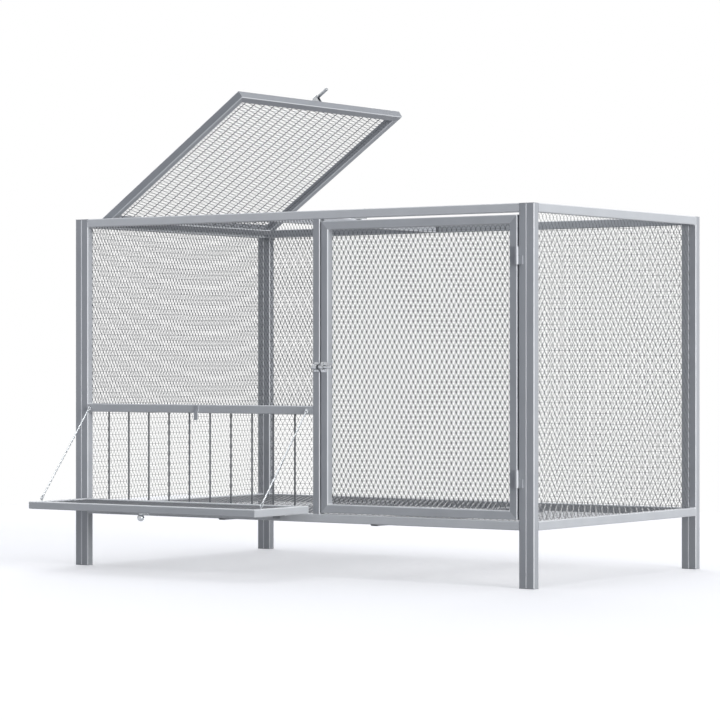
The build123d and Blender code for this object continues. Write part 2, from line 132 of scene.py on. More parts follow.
# %% [markdown]
# The cage stands on a white studio floor in front of white. The floor is lit by the lamps, so it holds the
# cage's shadow, and the rest of its white is a glow that only the camera and the reflections see. That
# keeps the background white while the lamps stay at a plain level for the metal. To the light that bounces
# off it the floor is a darker grey, so that it throws little light up under the tubes.

# %% Floor
floor_glow = 0.29
floor_size = 5
floor_gap = 0.0002
floor_material, tree, output = new_material("white_studio_floor")
seen = seen_directly(tree)
glow_level = add_node(tree, "ShaderNodeMath", {"operation": "MULTIPLY", 1: floor_glow}, {0: seen})
glow = add_node(tree, "ShaderNodeEmission", {"Color": (1, 1, 1, 1)}, {"Strength": glow_level.outputs[0]})
tone = add_node(
    tree,
    "ShaderNodeMix",
    {"data_type": "RGBA", 6: colour("88888a"), 7: colour("ebebed")},
    {0: seen},
)
matt = add_node(tree, "ShaderNodeBsdfDiffuse", None, {"Color": tone.outputs[2]})
both = add_node(tree, "ShaderNodeAddShader", None, {0: glow.outputs[0], 1: matt.outputs[0]})
tree.links.new(both.outputs[0], output.inputs["Surface"])
bpy.ops.mesh.primitive_plane_add(size=floor_size, location=(0, 0, -floor_gap))
ground = bpy.context.object
ground.name = "studio_floor"
ground.data.materials.append(floor_material)
print("floor", ground.dimensions)

# %% [markdown]
# In the photograph the faces towards the right are pale, and those towards the front are about half as
# bright. So the main light is a wide soft one, low on the right. A weaker one hangs overhead, and another
# stands behind on the left, so that the far sides aren't lost in the dark. The world gives an even fill
# from everywhere, and shows white to the camera and to reflections.

# %% Lights


def softbox(name, place, spread, energy, to_light=None):
    """Adds a sun lamp that is this many degrees wide. It shines down, or from the direction of to_light."""
    bpy.ops.object.light_add(type="SUN", location=place)
    lamp = bpy.context.object
    lamp.name = name
    lamp.data.angle = radians(spread)
    lamp.data.energy = energy
    if to_light:
        lamp.rotation_euler = Vector(to_light).to_track_quat("Z", "Y").to_euler()


softbox("softbox_from_the_right", (3, -1, 3), spread=35, energy=2.75, to_light=(0.95, -0.24, 0.16))
softbox("softbox_overhead", (0, 0, 3), spread=50, energy=0.9)
softbox("softbox_from_behind", (-3, 3, 3), spread=50, energy=1.1, to_light=(-0.60, 0.65, 0.55))
print("lamps", len(bpy.data.lights))

# %% World
world = bpy.data.worlds.new("white_studio")
bpy.context.scene.world = world
world.use_nodes = True
tree = world.node_tree
tree.nodes.clear()
white = add_node(tree, "ShaderNodeBackground", {"Color": (1, 1, 1, 1), "Strength": 1})
fill = add_node(tree, "ShaderNodeBackground", {"Color": colour("e4eaf8"), "Strength": 0.35})
choose = add_node(
    tree,
    "ShaderNodeMixShader",
    None,
    {0: seen_directly(tree), 1: fill.outputs[0], 2: white.outputs[0]},
)
add_node(tree, "ShaderNodeOutputWorld", None, {"Surface": choose.outputs[0]})
bpy.context.scene.view_settings.view_transform = "Standard"
print("world", world.name)

# %% [markdown]
# The tubes are mild steel with a grey satin enamel. Sprayed enamel has a faint orange peel, a millimetre or
# two across, and the coat is a little thicker in some places, which shows as soft patches. A painted
# highlight lightens the rounded edges, which are found where the normal lies between the axes of the tube.
# One grey would be simpler, but then large faces look like plastic. The rails get paler copies of the
# enamel, as painted light, and the lid gets darker ones, as painted shade.

# %% Grey enamel
patch_size = 0.045
peel_size = 0.002
peel_depth = 0.0003
flat_face = 0.97
round_edge = 0.80


def enamel(name, pale, dark, roughness, slope=0, edge_highlight=0.55):
    """Satin enamel on steel: soft patches of two greys, fine orange peel, uneven gloss and painted edge
    highlights.
    """
    material, tree, output = new_material(name)
    coordinates = add_node(tree, "ShaderNodeTexCoord")
    place = coordinates.outputs["Object"]
    patches = add_node(
        tree, "ShaderNodeTexNoise", {"Scale": 1 / patch_size, "Detail": 4}, {"Vector": place}
    )
    peel = add_node(tree, "ShaderNodeTexNoise", {"Scale": 1 / peel_size, "Detail": 2}, {"Vector": place})
    base = add_node(
        tree,
        "ShaderNodeMix",
        {"data_type": "RGBA", 6: colour(dark), 7: colour(pale)},
        {0: patches.outputs["Fac"]},
    )
    facing = add_node(
        tree,
        "ShaderNodeVectorRotate",
        {"rotation_type": "Y_AXIS", "Angle": slope},
        {"Vector": coordinates.outputs["Normal"]},
    )
    square = add_node(tree, "ShaderNodeVectorMath", {"operation": "ABSOLUTE"}, {0: facing.outputs[0]})
    parts = add_node(tree, "ShaderNodeSeparateXYZ", None, {0: square.outputs[0]})
    widest = add_node(
        tree, "ShaderNodeMath", {"operation": "MAXIMUM"}, {0: parts.outputs["X"], 1: parts.outputs["Y"]}
    )
    flatness = add_node(
        tree, "ShaderNodeMath", {"operation": "MAXIMUM"}, {0: widest.outputs[0], 1: parts.outputs["Z"]}
    )
    edge_highlight_mask = add_node(
        tree,
        "ShaderNodeMapRange",
        {"From Min": flat_face, "From Max": round_edge, "To Min": 0, "To Max": edge_highlight},
        {"Value": flatness.outputs[0]},
    )
    # Mixing in eceef0 along the rounded edges is a painted highlight.
    with_edge_highlight = add_node(
        tree,
        "ShaderNodeMix",
        {"data_type": "RGBA", 7: colour("eceef0")},
        {0: edge_highlight_mask.outputs[0], 6: base.outputs[2]},
    )
    gloss = add_node(
        tree,
        "ShaderNodeMapRange",
        {"From Min": 0.3, "From Max": 0.7, "To Min": roughness - 0.06, "To Max": roughness + 0.08},
        {"Value": patches.outputs["Fac"]},
    )
    bump = add_node(
        tree, "ShaderNodeBump", {"Strength": 0.12, "Distance": peel_depth}, {"Height": peel.outputs["Fac"]}
    )
    shader = add_node(
        tree,
        "ShaderNodeBsdfPrincipled",
        {"Metallic": 0.0, "IOR": 1.5},
        {"Base Color": with_edge_highlight.outputs[2], "Roughness": gloss.outputs[0], "Normal": bump.outputs[0]},
    )
    tree.links.new(shader.outputs[0], output.inputs["Surface"])
    return material


# %% Greys of the cage
lid_hinge = next(joint for joint in frame["joints"] if joint["name"] == "lid_hinge")
lid_slope = radians(-lid_hinge["range_deg"][0])
tube_enamel = enamel("grey_enamel_on_posts", "b3b6ba", "a1a4a9", roughness=0.42, edge_highlight=0.85)
# The side and front rail greys are paler copies of the post grey: painted light.
rail_enamel_painted_light = enamel("grey_enamel_painted_light_on_side_rails", "c6c9cc", "b5b8bc", roughness=0.42)
front_rail_enamel_painted_light = enamel("grey_enamel_painted_light_on_front_rails", "e0e2e4", "d0d3d6", roughness=0.42)
# The two lid greys are darker copies of the enamel: painted shade.
lid_enamel_painted_shade = enamel("grey_enamel_painted_shade_on_lid", "a3a6ab", "92959a", roughness=0.46, slope=lid_slope)
lid_end_enamel_painted_shade = enamel(
    "grey_enamel_painted_shade_on_lid_ends", "93969b", "84878c", roughness=0.46, slope=lid_slope
)
# The expanded steel and the feed bars get a much darker copy of the enamel, which paints in the shade on their
# thin strands and bars.
mesh_enamel_painted_shade = enamel("grey_enamel_painted_shade_on_expanded_steel", "6a6d71", "56595d", roughness=0.45, edge_highlight=0)
print("enamels", tube_enamel.name, mesh_enamel_painted_shade.name)

# %% [markdown]
# The bolts and the knob are chrome plated, and the stays are zinc-bright drawn wire. Both are metals, so
# they show the white studio and the dark gaps round them. Chrome is nearly a mirror, and the darker grey
# in its fine grain is a painted reflection. Wire is duller, because it keeps the scratches of the die it
# was drawn through.

# %% Chrome and wire


def bright_metal(name, pale, dark, grain, smooth, dull):
    """Bare or plated metal: two greys and an uneven polish on grain of the given size in metres."""
    material, tree, output = new_material(name)
    place = add_node(tree, "ShaderNodeTexCoord").outputs["Object"]
    grain_and_painted_reflection = add_node(tree, "ShaderNodeTexNoise", {"Scale": 1 / grain, "Detail": 3}, {"Vector": place})
    base = add_node(
        tree,
        "ShaderNodeMix",
        {"data_type": "RGBA", 6: colour(dark), 7: colour(pale)},
        {0: grain_and_painted_reflection.outputs["Fac"]},
    )
    polish = add_node(
        tree,
        "ShaderNodeMapRange",
        {"From Min": 0.3, "From Max": 0.7, "To Min": smooth, "To Max": dull},
        {"Value": grain_and_painted_reflection.outputs["Fac"]},
    )
    shader = add_node(
        tree,
        "ShaderNodeBsdfPrincipled",
        {"Metallic": 1.0},
        {"Base Color": base.outputs[2], "Roughness": polish.outputs[0]},
    )
    tree.links.new(shader.outputs[0], output.inputs["Surface"])
    return material


# On chrome the dark grey 868a8e, mixed in on 5 mm grain, is a painted reflection of dark surroundings.
chrome = bright_metal("chrome_plate_with_painted_reflection", "e0e2e5", "868a8e", grain=0.005, smooth=0.06, dull=0.16)
wire_zinc = bright_metal("bright_zinc_wire", "d4d7da", "acb0b4", grain=0.004, smooth=0.24, dull=0.36)
print("metals", chrome.name, wire_zinc.name)

# %% Finishes of the nodes
finishes = {
    "painted_steel": tube_enamel,
    "mesh_steel": mesh_enamel_painted_shade,
    "chrome": chrome,
    "bright_wire": wire_zinc,
}
own_finishes = {
    "feed_bars": mesh_enamel_painted_shade,
    "front_top_rail": front_rail_enamel_painted_light,
    "front_bottom_rail": front_rail_enamel_painted_light,
    "flap_long_rails": rail_enamel_painted_light,
    "flap_side_rails": rail_enamel_painted_light,
    "lid_side_rails": lid_enamel_painted_shade,
    "lid_end_rails": lid_end_enamel_painted_shade,
}
for subpart in frame["record"]["subparts"]:
    name = subpart["node"]
    node = frame["nodes"][name]
    if not node.data.materials:
        node.data.materials.append(None)
    usual = rail_enamel_painted_light if name.endswith("_rail") else finishes[subpart["material_slot"]]
    for socket in node.material_slots:
        socket.material = own_finishes.get(name, usual)

# %% [markdown]
# The walls are expanded metal: a steel sheet is slit in staggered rows and pulled, so that each slit opens
# to a rounded diamond. The strands between the slits turn as they stretch and stand like the slats of a
# blind. Drawing the holes as a picture would be quicker, but it goes flat when the light rakes across it.
# One strand is modelled instead: a narrow strip, extruded through a bond, a slant, the next bond and a
# slant back. A copy half a cell away is its neighbour, and two arrays repeat the pair over the sheet. Some
# panels in the photograph show one slant much more than the other, and a dark line along each row. There
# the first slant is slimmer, and thin wires along the rows of bonds stand in for that line.

# %% Helpers for edit mode and modifiers


def select_where(test):
    """In edit mode, selects the vertices whose place passes the test."""
    shape = bmesh.from_edit_mesh(bpy.context.object.data)
    for vertex in shape.verts:
        vertex.select = test(vertex.co)
    shape.select_flush_mode()
    bmesh.update_edit_mesh(bpy.context.object.data)


def extrude_edge(step, width_factor=1.0):
    """Extrudes the selected edge by a step and changes its width about its middle."""
    bpy.ops.mesh.extrude_region_move(TRANSFORM_OT_translate={"value": step})
    if width_factor != 1:
        shape = bmesh.from_edit_mesh(bpy.context.object.data)
        ends = [vertex.co for vertex in shape.verts if vertex.select]
        middle = (ends[0] + ends[1]) / 2
        bpy.ops.transform.resize(value=(width_factor,) * 3, center_override=middle)


def apply_modifier(piece, kind, **settings):
    """Adds a modifier with these settings to the active piece and applies it."""
    modifier = piece.modifiers.new(kind.lower(), kind)
    for name, value in settings.items():
        setattr(modifier, name, value)
    bpy.ops.object.modifier_apply(modifier=modifier.name)


def repeat(piece, count, step, **settings):
    """Repeats the active piece this many times, each copy a step from the last."""
    apply_modifier(
        piece,
        "ARRAY",
        count=count,
        use_relative_offset=False,
        use_constant_offset=True,
        constant_offset_displace=step,
        **settings,
    )


def make_active(piece):
    """Selects only this piece and makes it the active one."""
    bpy.ops.object.select_all(action="DESELECT")
    piece.select_set(True)
    bpy.context.view_layer.objects.active = piece


def join(main, others):
    """Joins other pieces into the main one and leaves it active."""
    make_active(main)
    for piece in others:
        piece.select_set(True)
    bpy.ops.object.join()


# %% One strand and its neighbour
merge_gap = 0.00002
taper = 0.15


def strand_pair(short_way, long_way, bond, strand, tilt=0, slim=1):
    """Models a strand with its long way along Y, and the neighbour half a cell away that it bonds to."""
    bpy.ops.object.select_all(action="DESELECT")
    bpy.ops.mesh.primitive_plane_add(size=1)
    pair = bpy.context.object
    lean = strand * sin(radians(tilt))
    cover = strand * cos(radians(tilt))
    bpy.ops.object.mode_set(mode="EDIT")
    bpy.ops.mesh.select_mode(type="VERT")
    bpy.ops.transform.resize(value=(cover, bond, 1))
    bpy.ops.transform.translate(value=(cover / 2, 0, 0))
    select_where(lambda place: place.x > cover / 2)
    bpy.ops.transform.translate(value=(0, 0, lean))
    select_where(lambda place: place.y > 0)
    slant = Vector((short_way / 2 - cover, long_way / 2 - bond, -lean))
    slant_back = Vector((-slant.x, slant.y, lean))
    if slim == 1:
        extrude_edge(slant)
    else:
        extrude_edge(slant * taper, slim)
        extrude_edge(slant * (1 - 2 * taper))
        extrude_edge(slant * taper, 1 / slim)
    extrude_edge((0, bond, 0))
    extrude_edge(slant_back)
    bpy.ops.mesh.select_all(action="SELECT")
    bpy.ops.mesh.duplicate()
    bpy.ops.transform.translate(value=(-short_way / 2, long_way / 2, 0))
    bpy.ops.mesh.select_all(action="SELECT")
    bpy.ops.mesh.remove_doubles(threshold=merge_gap)
    bpy.ops.object.mode_set(mode="OBJECT")
    return pair


# %% One sheet of expanded metal
spare_cells = 6


def add_cross_wires(sheet, size, pitch, wire, start):
    """Adds round wires along X to a sheet, at this pitch along Y from a start, with their ends blunted."""
    width, height = size
    first = ceil((-height / 2 - start) / pitch)
    last = floor((height / 2 - start) / pitch)
    bpy.ops.object.select_all(action="DESELECT")
    bpy.ops.mesh.primitive_cylinder_add(
        vertices=8, radius=wire / 2, depth=width, rotation=(0, pi / 2, 0), location=(0, 0, -wire / 4)
    )
    wires = bpy.context.object
    bpy.ops.object.transform_apply(location=True, rotation=True, scale=True)
    apply_modifier(wires, "BEVEL", width=wire / 8, segments=1, limit_method="ANGLE")
    repeat(wires, last - first + 1, (0, pitch, 0))
    bpy.ops.object.mode_set(mode="EDIT")
    bpy.ops.mesh.select_all(action="SELECT")
    bpy.ops.transform.translate(value=(0, start + first * pitch, 0))
    bpy.ops.object.mode_set(mode="OBJECT")
    join(sheet, [wires])


def expanded_sheet(name, size, short_way, long_way, gauge, wire=0, wires=1, shift=(0, 0), **strand_shape):
    """Models a sheet of expanded metal about the origin, facing +Z, with its long way along Y."""
    width, height = size
    sheet = strand_pair(short_way, long_way, **strand_shape)
    sheet.name = name
    columns = 2 * int(width / short_way / 2) + spare_cells
    rows = 2 * int(height / long_way / 2) + spare_cells
    for count, step in ((rows, (0, long_way, 0)), (columns, (short_way, 0, 0))):
        repeat(sheet, count, step, use_merge_vertices=True, merge_threshold=merge_gap)
    bpy.ops.object.mode_set(mode="EDIT")
    bpy.ops.mesh.select_all(action="SELECT")
    back_to_middle = Vector((-columns * short_way / 2, -rows * long_way / 2, 0))
    bpy.ops.transform.translate(value=back_to_middle + Vector((*shift, 0)))
    for side in (Vector((1, 0, 0)), Vector((-1, 0, 0)), Vector((0, 1, 0)), Vector((0, -1, 0))):
        reach = width / 2 if side.x else height / 2
        bpy.ops.mesh.select_all(action="SELECT")
        bpy.ops.mesh.bisect(plane_co=side * reach, plane_no=side, clear_outer=True)
    bpy.ops.mesh.select_all(action="SELECT")
    bpy.ops.mesh.normals_make_consistent(inside=False)
    bpy.ops.object.mode_set(mode="OBJECT")
    apply_modifier(sheet, "SOLIDIFY", thickness=gauge, offset=0)
    if wire:
        add_cross_wires(sheet, size, long_way / wires, wire, shift[1])
    return sheet


# %% [markdown]
# Each panel gets its own sheet, cut to the opening of its frame. On the walls and the door the long way of
# the diamonds stands upright. On the floor, the flap and the lid it runs from front to back. The lid's
# slope follows from its hinge, whose lower limit is the shut lid. The back sheet is seen through the door,
# and two sheets that cross by chance make broad stripes. So its cells are scaled and shifted to lie behind
# those of the door, as seen from the camera, but for a small part of a cell along one slant.

# %% Measure and place


def lengths_along(node_name, axes):
    """Measures a CAD node along three directions, and gives the middle and the three lengths."""
    places = [vertex.co for vertex in frame["nodes"][node_name].data.vertices]
    middle = Vector()
    lengths = []
    for axis in axes:
        along = [place.dot(axis) for place in places]
        middle += axis * (max(along) + min(along)) / 2
        lengths.append(max(along) - min(along))
    return middle, lengths


def put(piece, axes, middle):
    """Turns a piece to these axes, moves it to a middle, and keeps both in its mesh."""
    make_active(piece)
    piece.matrix_world = Matrix.Translation(middle) @ Matrix(axes).transposed().to_4x4()
    bpy.ops.object.transform_apply(location=True, rotation=True, scale=True)


# %% Cells of the panels
right_way = Vector((1, 0, 0))
back_way = Vector((0, 1, 0))
up_way = Vector((0, 0, 1))
lid_way = Vector((cos(lid_slope), 0, sin(lid_slope)))
wall_diamond = {"short_way": 0.0117, "long_way": 0.0207, "bond": 0.004, "strand": 0.0016, "gauge": 0.0007}
fine_diamond = {"bond": 0.002, "strand": 0.0011, "gauge": 0.0005, "slim": 0.15}
panels = {
    "front_mesh": ("frame", right_way, up_way, {
        **fine_diamond, "short_way": 0.0078, "long_way": 0.0150, "strand": 0.0009, "gauge": 0.0004,
    }),
    "back_mesh": ("frame", right_way, up_way, {
        **wall_diamond, "strand": 0.0009, "gauge": 0.0005, "tilt": 12, "wire": 0.0008, "wires": 2,
    }),
    "left_mesh": ("frame", back_way, up_way, {
        **fine_diamond, "short_way": 0.0109, "long_way": 0.0238, "strand": 0.0020,
        "tilt": -50, "wire": 0.0008, "wires": 2,
    }),
    "right_mesh": ("frame", back_way, up_way, {
        **fine_diamond, "short_way": 0.0137, "long_way": 0.0215, "tilt": -50, "wire": 0.0003, "wires": 2,
    }),
    "floor_mesh": ("frame", right_way, back_way, {
        **fine_diamond, "short_way": 0.0146, "long_way": 0.0249, "strand": 0.0024, "gauge": 0.0004,
    }),
    "door_mesh": ("door", right_way, up_way, {
        **wall_diamond, "strand": 0.0010, "gauge": 0.0006, "tilt": 12, "wire": 0.0006, "wires": 2,
    }),
    "lid_mesh": ("lid", lid_way, back_way, {
        **fine_diamond, "short_way": 0.0084, "long_way": 0.0340, "strand": 0.0012, "slim": 0.3,
        "tilt": -12, "wire": 0.0017,
    }),
    "flap_mesh": ("flap", right_way, -back_way, {**wall_diamond, "tilt": 38}),
}
print("panels", len(panels))

# %% Back sheet behind the door
door_middle = lengths_along("door_mesh", (right_way, back_way, up_way))[0]
back_middle = lengths_along("back_mesh", (right_way, back_way, up_way))[0]
spread = (back_middle.y - camera.location.y) / (door_middle.y - camera.location.y)
behind_door = camera.location + (door_middle - camera.location) * spread - back_middle
back_cell = panels["back_mesh"][3]
along_slant = 0.12
back_cell["short_way"] *= spread
back_cell["long_way"] *= spread
back_cell["shift"] = (
    behind_door.x - (round(behind_door.x / back_cell["short_way"]) + along_slant) * back_cell["short_way"],
    behind_door.z - (round(behind_door.z / back_cell["long_way"]) - along_slant) * back_cell["long_way"],
)
print("back sheet: cells", round(spread, 3), "times those of the door")

# %% Sheets on their panels
for node_name, (body, across_way, long_axis, cell) in panels.items():
    axes = (across_way, long_axis, across_way.cross(long_axis))
    middle, lengths = lengths_along(node_name, axes)
    sheet = expanded_sheet("expanded_" + node_name, lengths[:2], **cell)
    put(sheet, axes, middle)
    sheet.data.materials.append(mesh_enamel_painted_shade)
    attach(sheet, body)
    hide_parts(node_name)
    print(sheet.name, sum(len(face.vertices) - 2 for face in sheet.data.polygons), "triangles")

# %% [markdown]
# Two barrel bolts hold the door and the lid. On the real cage a strip of sheet steel is pressed into an
# arch over each bolt, and its two flat feet are screwed down. A cube with a hole would do the same work,
# but it shows no feet and no thin edge. So the strap starts as a circle, its lower half is cut away, the
# ends are extruded into legs and feet, and the line is drawn out to the strap's length. Solidify gives it
# the gauge of the sheet.

# %% Pressed straps
smooth_angle = radians(35)


def pressed_strap(name, length, axis_height, inner, gauge, foot):
    """Models a strap over a bolt that lies along X, with its feet on Z = 0."""
    bpy.ops.object.select_all(action="DESELECT")
    bpy.ops.mesh.primitive_circle_add(
        vertices=32, radius=inner + gauge / 2, location=(0, 0, axis_height), rotation=(0, pi / 2, 0)
    )
    strap = bpy.context.object
    strap.name = name
    bpy.ops.object.transform_apply(location=True, rotation=True, scale=True)
    bpy.ops.object.mode_set(mode="EDIT")
    bpy.ops.mesh.select_mode(type="VERT")
    bpy.ops.mesh.select_all(action="SELECT")
    bpy.ops.mesh.bisect(plane_co=(0, 0, axis_height), plane_no=(0, 0, -1), clear_outer=True)
    select_where(lambda place: place.z < axis_height + gauge / 100)
    bpy.ops.mesh.extrude_region_move(TRANSFORM_OT_translate={"value": (0, 0, gauge / 2 - axis_height)})
    for side in (1, -1):
        select_where(lambda place: place.z < gauge and side * place.y > 0)
        bpy.ops.mesh.extrude_region_move(TRANSFORM_OT_translate={"value": (0, side * foot, 0)})
    bpy.ops.mesh.select_all(action="SELECT")
    bpy.ops.mesh.extrude_region_move(TRANSFORM_OT_translate={"value": (length, 0, 0)})
    bpy.ops.mesh.select_all(action="SELECT")
    bpy.ops.mesh.normals_make_consistent(inside=False)
    bpy.ops.object.mode_set(mode="OBJECT")
    apply_modifier(strap, "SOLIDIFY", thickness=gauge, offset=0)
    apply_modifier(strap, "BEVEL", width=gauge / 5, segments=2, limit_method="ANGLE")
    bpy.ops.object.shade_smooth_by_angle(angle=smooth_angle)
    return strap


door_strap_size = {"length": 0.011, "axis_height": 0.0045, "inner": 0.0033, "gauge": 0.0012, "foot": 0.0036}
keeper_size = {"length": 0.012, "axis_height": 0.0060, "inner": 0.0044, "gauge": 0.0013, "foot": 0.0052}
lid_strap_size = {"length": 0.012, "axis_height": 0.0143, "inner": 0.0045, "gauge": 0.0016, "foot": 0.0050}
door_strap = pressed_strap("door_bolt_strap", **door_strap_size)
keeper_strap = pressed_strap("arched_door_keeper", **keeper_size)
lid_strap = pressed_strap("lid_bolt_strap", **lid_strap_size)
print("straps", [len(strap.data.polygons) for strap in (door_strap, keeper_strap, lid_strap)])

# %% [markdown]
# A slotted pan head screw holds each foot. It is turned as a short cylinder with a rounded rim. Two cuts
# across the head mark the slot, and the strip between them is pushed down. It is modelled once and copied
# to the six feet.

# %% One screw
head_radius = 0.0017
head_height = 0.0010
slot_half = 0.0003
bpy.ops.object.select_all(action="DESELECT")
bpy.ops.mesh.primitive_cylinder_add(
    vertices=20, radius=head_radius, depth=head_height, location=(0, 0, head_height / 2)
)
screw = bpy.context.object
bpy.ops.object.transform_apply(location=True, rotation=True, scale=True)
bpy.ops.object.mode_set(mode="EDIT")
bpy.ops.mesh.select_mode(type="VERT")
select_where(lambda place: place.z > head_height * 0.9)
bpy.ops.mesh.bevel(offset=head_height * 0.5, segments=3)
for cut in (slot_half, -slot_half):
    bpy.ops.mesh.select_all(action="SELECT")
    bpy.ops.mesh.bisect(plane_co=(cut, 0, 0), plane_no=(1, 0, 0))
select_where(lambda place: place.z > head_height * 0.99 and abs(place.x) < slot_half * 1.01)
bpy.ops.mesh.extrude_region_move(TRANSFORM_OT_translate={"value": (0, 0, -head_height * 0.5)})
bpy.ops.object.mode_set(mode="OBJECT")
bpy.ops.object.shade_smooth_by_angle(angle=smooth_angle)
print("screw", len(screw.data.polygons), "faces")

# %% Screws on the feet


def copy_at(piece, place, turn=None):
    """Copies a piece with a mesh of its own, and moves the copy's mesh to a place."""
    twin = piece.copy()
    twin.data = piece.data.copy()
    bpy.context.collection.objects.link(twin)
    twin.data.transform(Matrix.Translation(place) @ (turn or Matrix.Identity(4)))
    return twin


for strap, size, foot_middle in (
    (door_strap, door_strap_size, 0.0063),
    (keeper_strap, keeper_size, 0.0082),
    (lid_strap, lid_strap_size, 0.0086),
):
    places = [(size["length"] / 2, side * foot_middle, size["gauge"]) for side in (1, -1)]
    join(strap, [copy_at(screw, place) for place in places])
bpy.data.objects.remove(screw)
print("screws on", door_strap.name, keeper_strap.name, lid_strap.name)

# %% [markdown]
# The door's strap stands on a small plate, which spreads its load over the stile. A cube is pressed flat,
# and its four upright edges and its rim are rounded with bevels. In these local frames the bolt points
# along X and Z leaves the face, so the finished group is turned once to the door or the lid, and its place
# is kept in its mesh.

# %% Plate under the door's strap
plate_gauge = 0.0015
plate_rim = 0.0003


def rounded_plate(place, size, corner, segments):
    """Models a flat plate with rounded corners and a soft rim."""
    bpy.ops.object.select_all(action="DESELECT")
    bpy.ops.mesh.primitive_cube_add(size=1, location=place, scale=size)
    plate = bpy.context.object
    bpy.ops.object.transform_apply(location=True, rotation=True, scale=True)
    bpy.ops.object.mode_set(mode="EDIT")
    bpy.ops.mesh.select_mode(type="EDGE")
    shape = bmesh.from_edit_mesh(plate.data)
    for edge in shape.edges:
        edge.select_set(abs(edge.verts[0].co.z - edge.verts[1].co.z) > size[2] / 2)
    bmesh.update_edit_mesh(plate.data)
    bpy.ops.mesh.bevel(offset=corner, segments=segments)
    bpy.ops.object.mode_set(mode="OBJECT")
    apply_modifier(plate, "BEVEL", width=plate_rim, segments=2, limit_method="ANGLE")
    bpy.ops.object.shade_smooth_by_angle(angle=smooth_angle)
    return plate


plate_size = (0.016, 0.022, plate_gauge)
join(door_strap, [rounded_plate((0.003, 0, -plate_gauge / 2), plate_size, corner=0.0025, segments=5)])
print(door_strap.name, "with its plate", len(door_strap.data.polygons), "faces")

# %% Straps on the door, the door post and the lid
lid_out = Vector((-sin(lid_slope), 0, cos(lid_slope)))
door_axes = (-right_way, -up_way, -back_way)
lid_axes = (lid_way, back_way, lid_out)


def foot_of(node_name, axes, end):
    """Gives the middle of a CAD latch's foot at its start (-1) or end (1) along X, on the face under it."""
    middle, lengths = lengths_along(node_name, axes)
    return middle + axes[0] * end * lengths[0] / 2 - axes[2] * lengths[2] / 2


door_foot = foot_of("door_bolt_guide", door_axes, 1)
keeper_foot = foot_of("door_keeper", door_axes, -1)
lid_foot = foot_of("lid_bolt_guide", lid_axes, -1)
on_plate = door_foot + right_way * door_strap_size["length"] - back_way * plate_gauge
for strap, node_name, body, axes, foot in (
    (door_strap, "door_bolt_guide", "door", door_axes, on_plate),
    (keeper_strap, "door_keeper", "frame", door_axes, keeper_foot),
    (lid_strap, "lid_bolt_guide", "lid", lid_axes, lid_foot),
):
    put(strap, axes, foot)
    strap.data.materials.append(chrome)
    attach(strap, body)
    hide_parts(node_name)
    print(strap.name, "at", tuple(round(n, 4) for n in foot))

# %% [markdown]
# Each bolt is a round bar with a rounded nose, and a grip that the fingers push. The door's grip is a short
# lever with a little ball, made by extruding the end of a pin in steps and changing its width at each
# step. The lid's grip is a pin bent into a hook, and Spin carries its end face round the bend.

# %% Bars and turned pins


def round_bar(name, radius, tail, tip, axis_height):
    """Models a bar along X from tail to tip, with both ends rounded."""
    bpy.ops.object.select_all(action="DESELECT")
    middle = ((tip + tail) / 2, 0, axis_height)
    bpy.ops.mesh.primitive_cylinder_add(
        vertices=32, radius=radius, depth=tip - tail, location=middle, rotation=(0, pi / 2, 0)
    )
    bar = bpy.context.object
    bar.name = name
    bpy.ops.object.transform_apply(location=True, rotation=True, scale=True)
    bpy.ops.object.mode_set(mode="EDIT")
    bpy.ops.mesh.select_mode(type="VERT")
    nose = radius * 0.35
    select_where(lambda place: place.x > tip - radius / 100)
    bpy.ops.mesh.bevel(offset=nose, segments=3)
    select_where(lambda place: place.x < tail + radius / 100)
    bpy.ops.mesh.bevel(offset=nose, segments=3)
    bpy.ops.object.mode_set(mode="OBJECT")
    bpy.ops.object.shade_smooth_by_angle(angle=smooth_angle)
    return bar


def turned_pin(profile, sides=32):
    """Turns a pin about Z from steps of height and radius, by extruding its end and changing its width."""
    (bottom, radius), (top, _) = profile[:2]
    bpy.ops.object.select_all(action="DESELECT")
    bpy.ops.mesh.primitive_cylinder_add(
        vertices=sides, radius=radius, depth=top - bottom, location=(0, 0, (top + bottom) / 2)
    )
    pin = bpy.context.object
    bpy.ops.object.transform_apply(location=True, rotation=True, scale=True)
    bpy.ops.object.mode_set(mode="EDIT")
    bpy.ops.mesh.select_mode(type="VERT")
    select_where(lambda place: place.z > (top + bottom) / 2)
    height = top
    for next_height, next_radius in profile[2:]:
        bpy.ops.mesh.extrude_region_move(TRANSFORM_OT_translate={"value": (0, 0, next_height - height)})
        factor = next_radius / radius
        bpy.ops.transform.resize(value=(factor, factor, 1), center_override=(0, 0, next_height))
        height, radius = next_height, next_radius
    bpy.ops.object.mode_set(mode="OBJECT")
    bpy.ops.object.shade_smooth_by_angle(angle=smooth_angle)
    return pin


def ball_steps(middle, radius, angles):
    """Gives the steps of height and radius of a ball at these angles above its middle, in degrees."""
    return [(middle + radius * sin(radians(a)), radius * cos(radians(a))) for a in angles]


# %% Door bolt
door_bolt_height = door_strap_size["axis_height"] + plate_gauge
door_bolt = round_bar("sliding_door_bolt", radius=0.003, tail=-0.0316, tip=0, axis_height=door_bolt_height)
lever_place = (-0.0272, 0, door_bolt_height)
lever_lean = radians(25)
ball = ball_steps(middle=0.0122, radius=0.0028, angles=(-30, -10, 10, 30, 50, 68, 82))
lever = turned_pin([(0, 0.0020), (0.004, 0.0020), (0.0085, 0.0015), (0.0102, 0.0017), *ball])
lever_way = Vector((-sin(lever_lean), -cos(lever_lean), 0))
lever_turn = lever_way.to_track_quat("Z", "Y").to_matrix().to_4x4()
lever.data.transform(Matrix.Translation(lever_place) @ lever_turn)
join(door_bolt, [lever])
print("lever points along", tuple(round(n, 3) for n in lever_way))

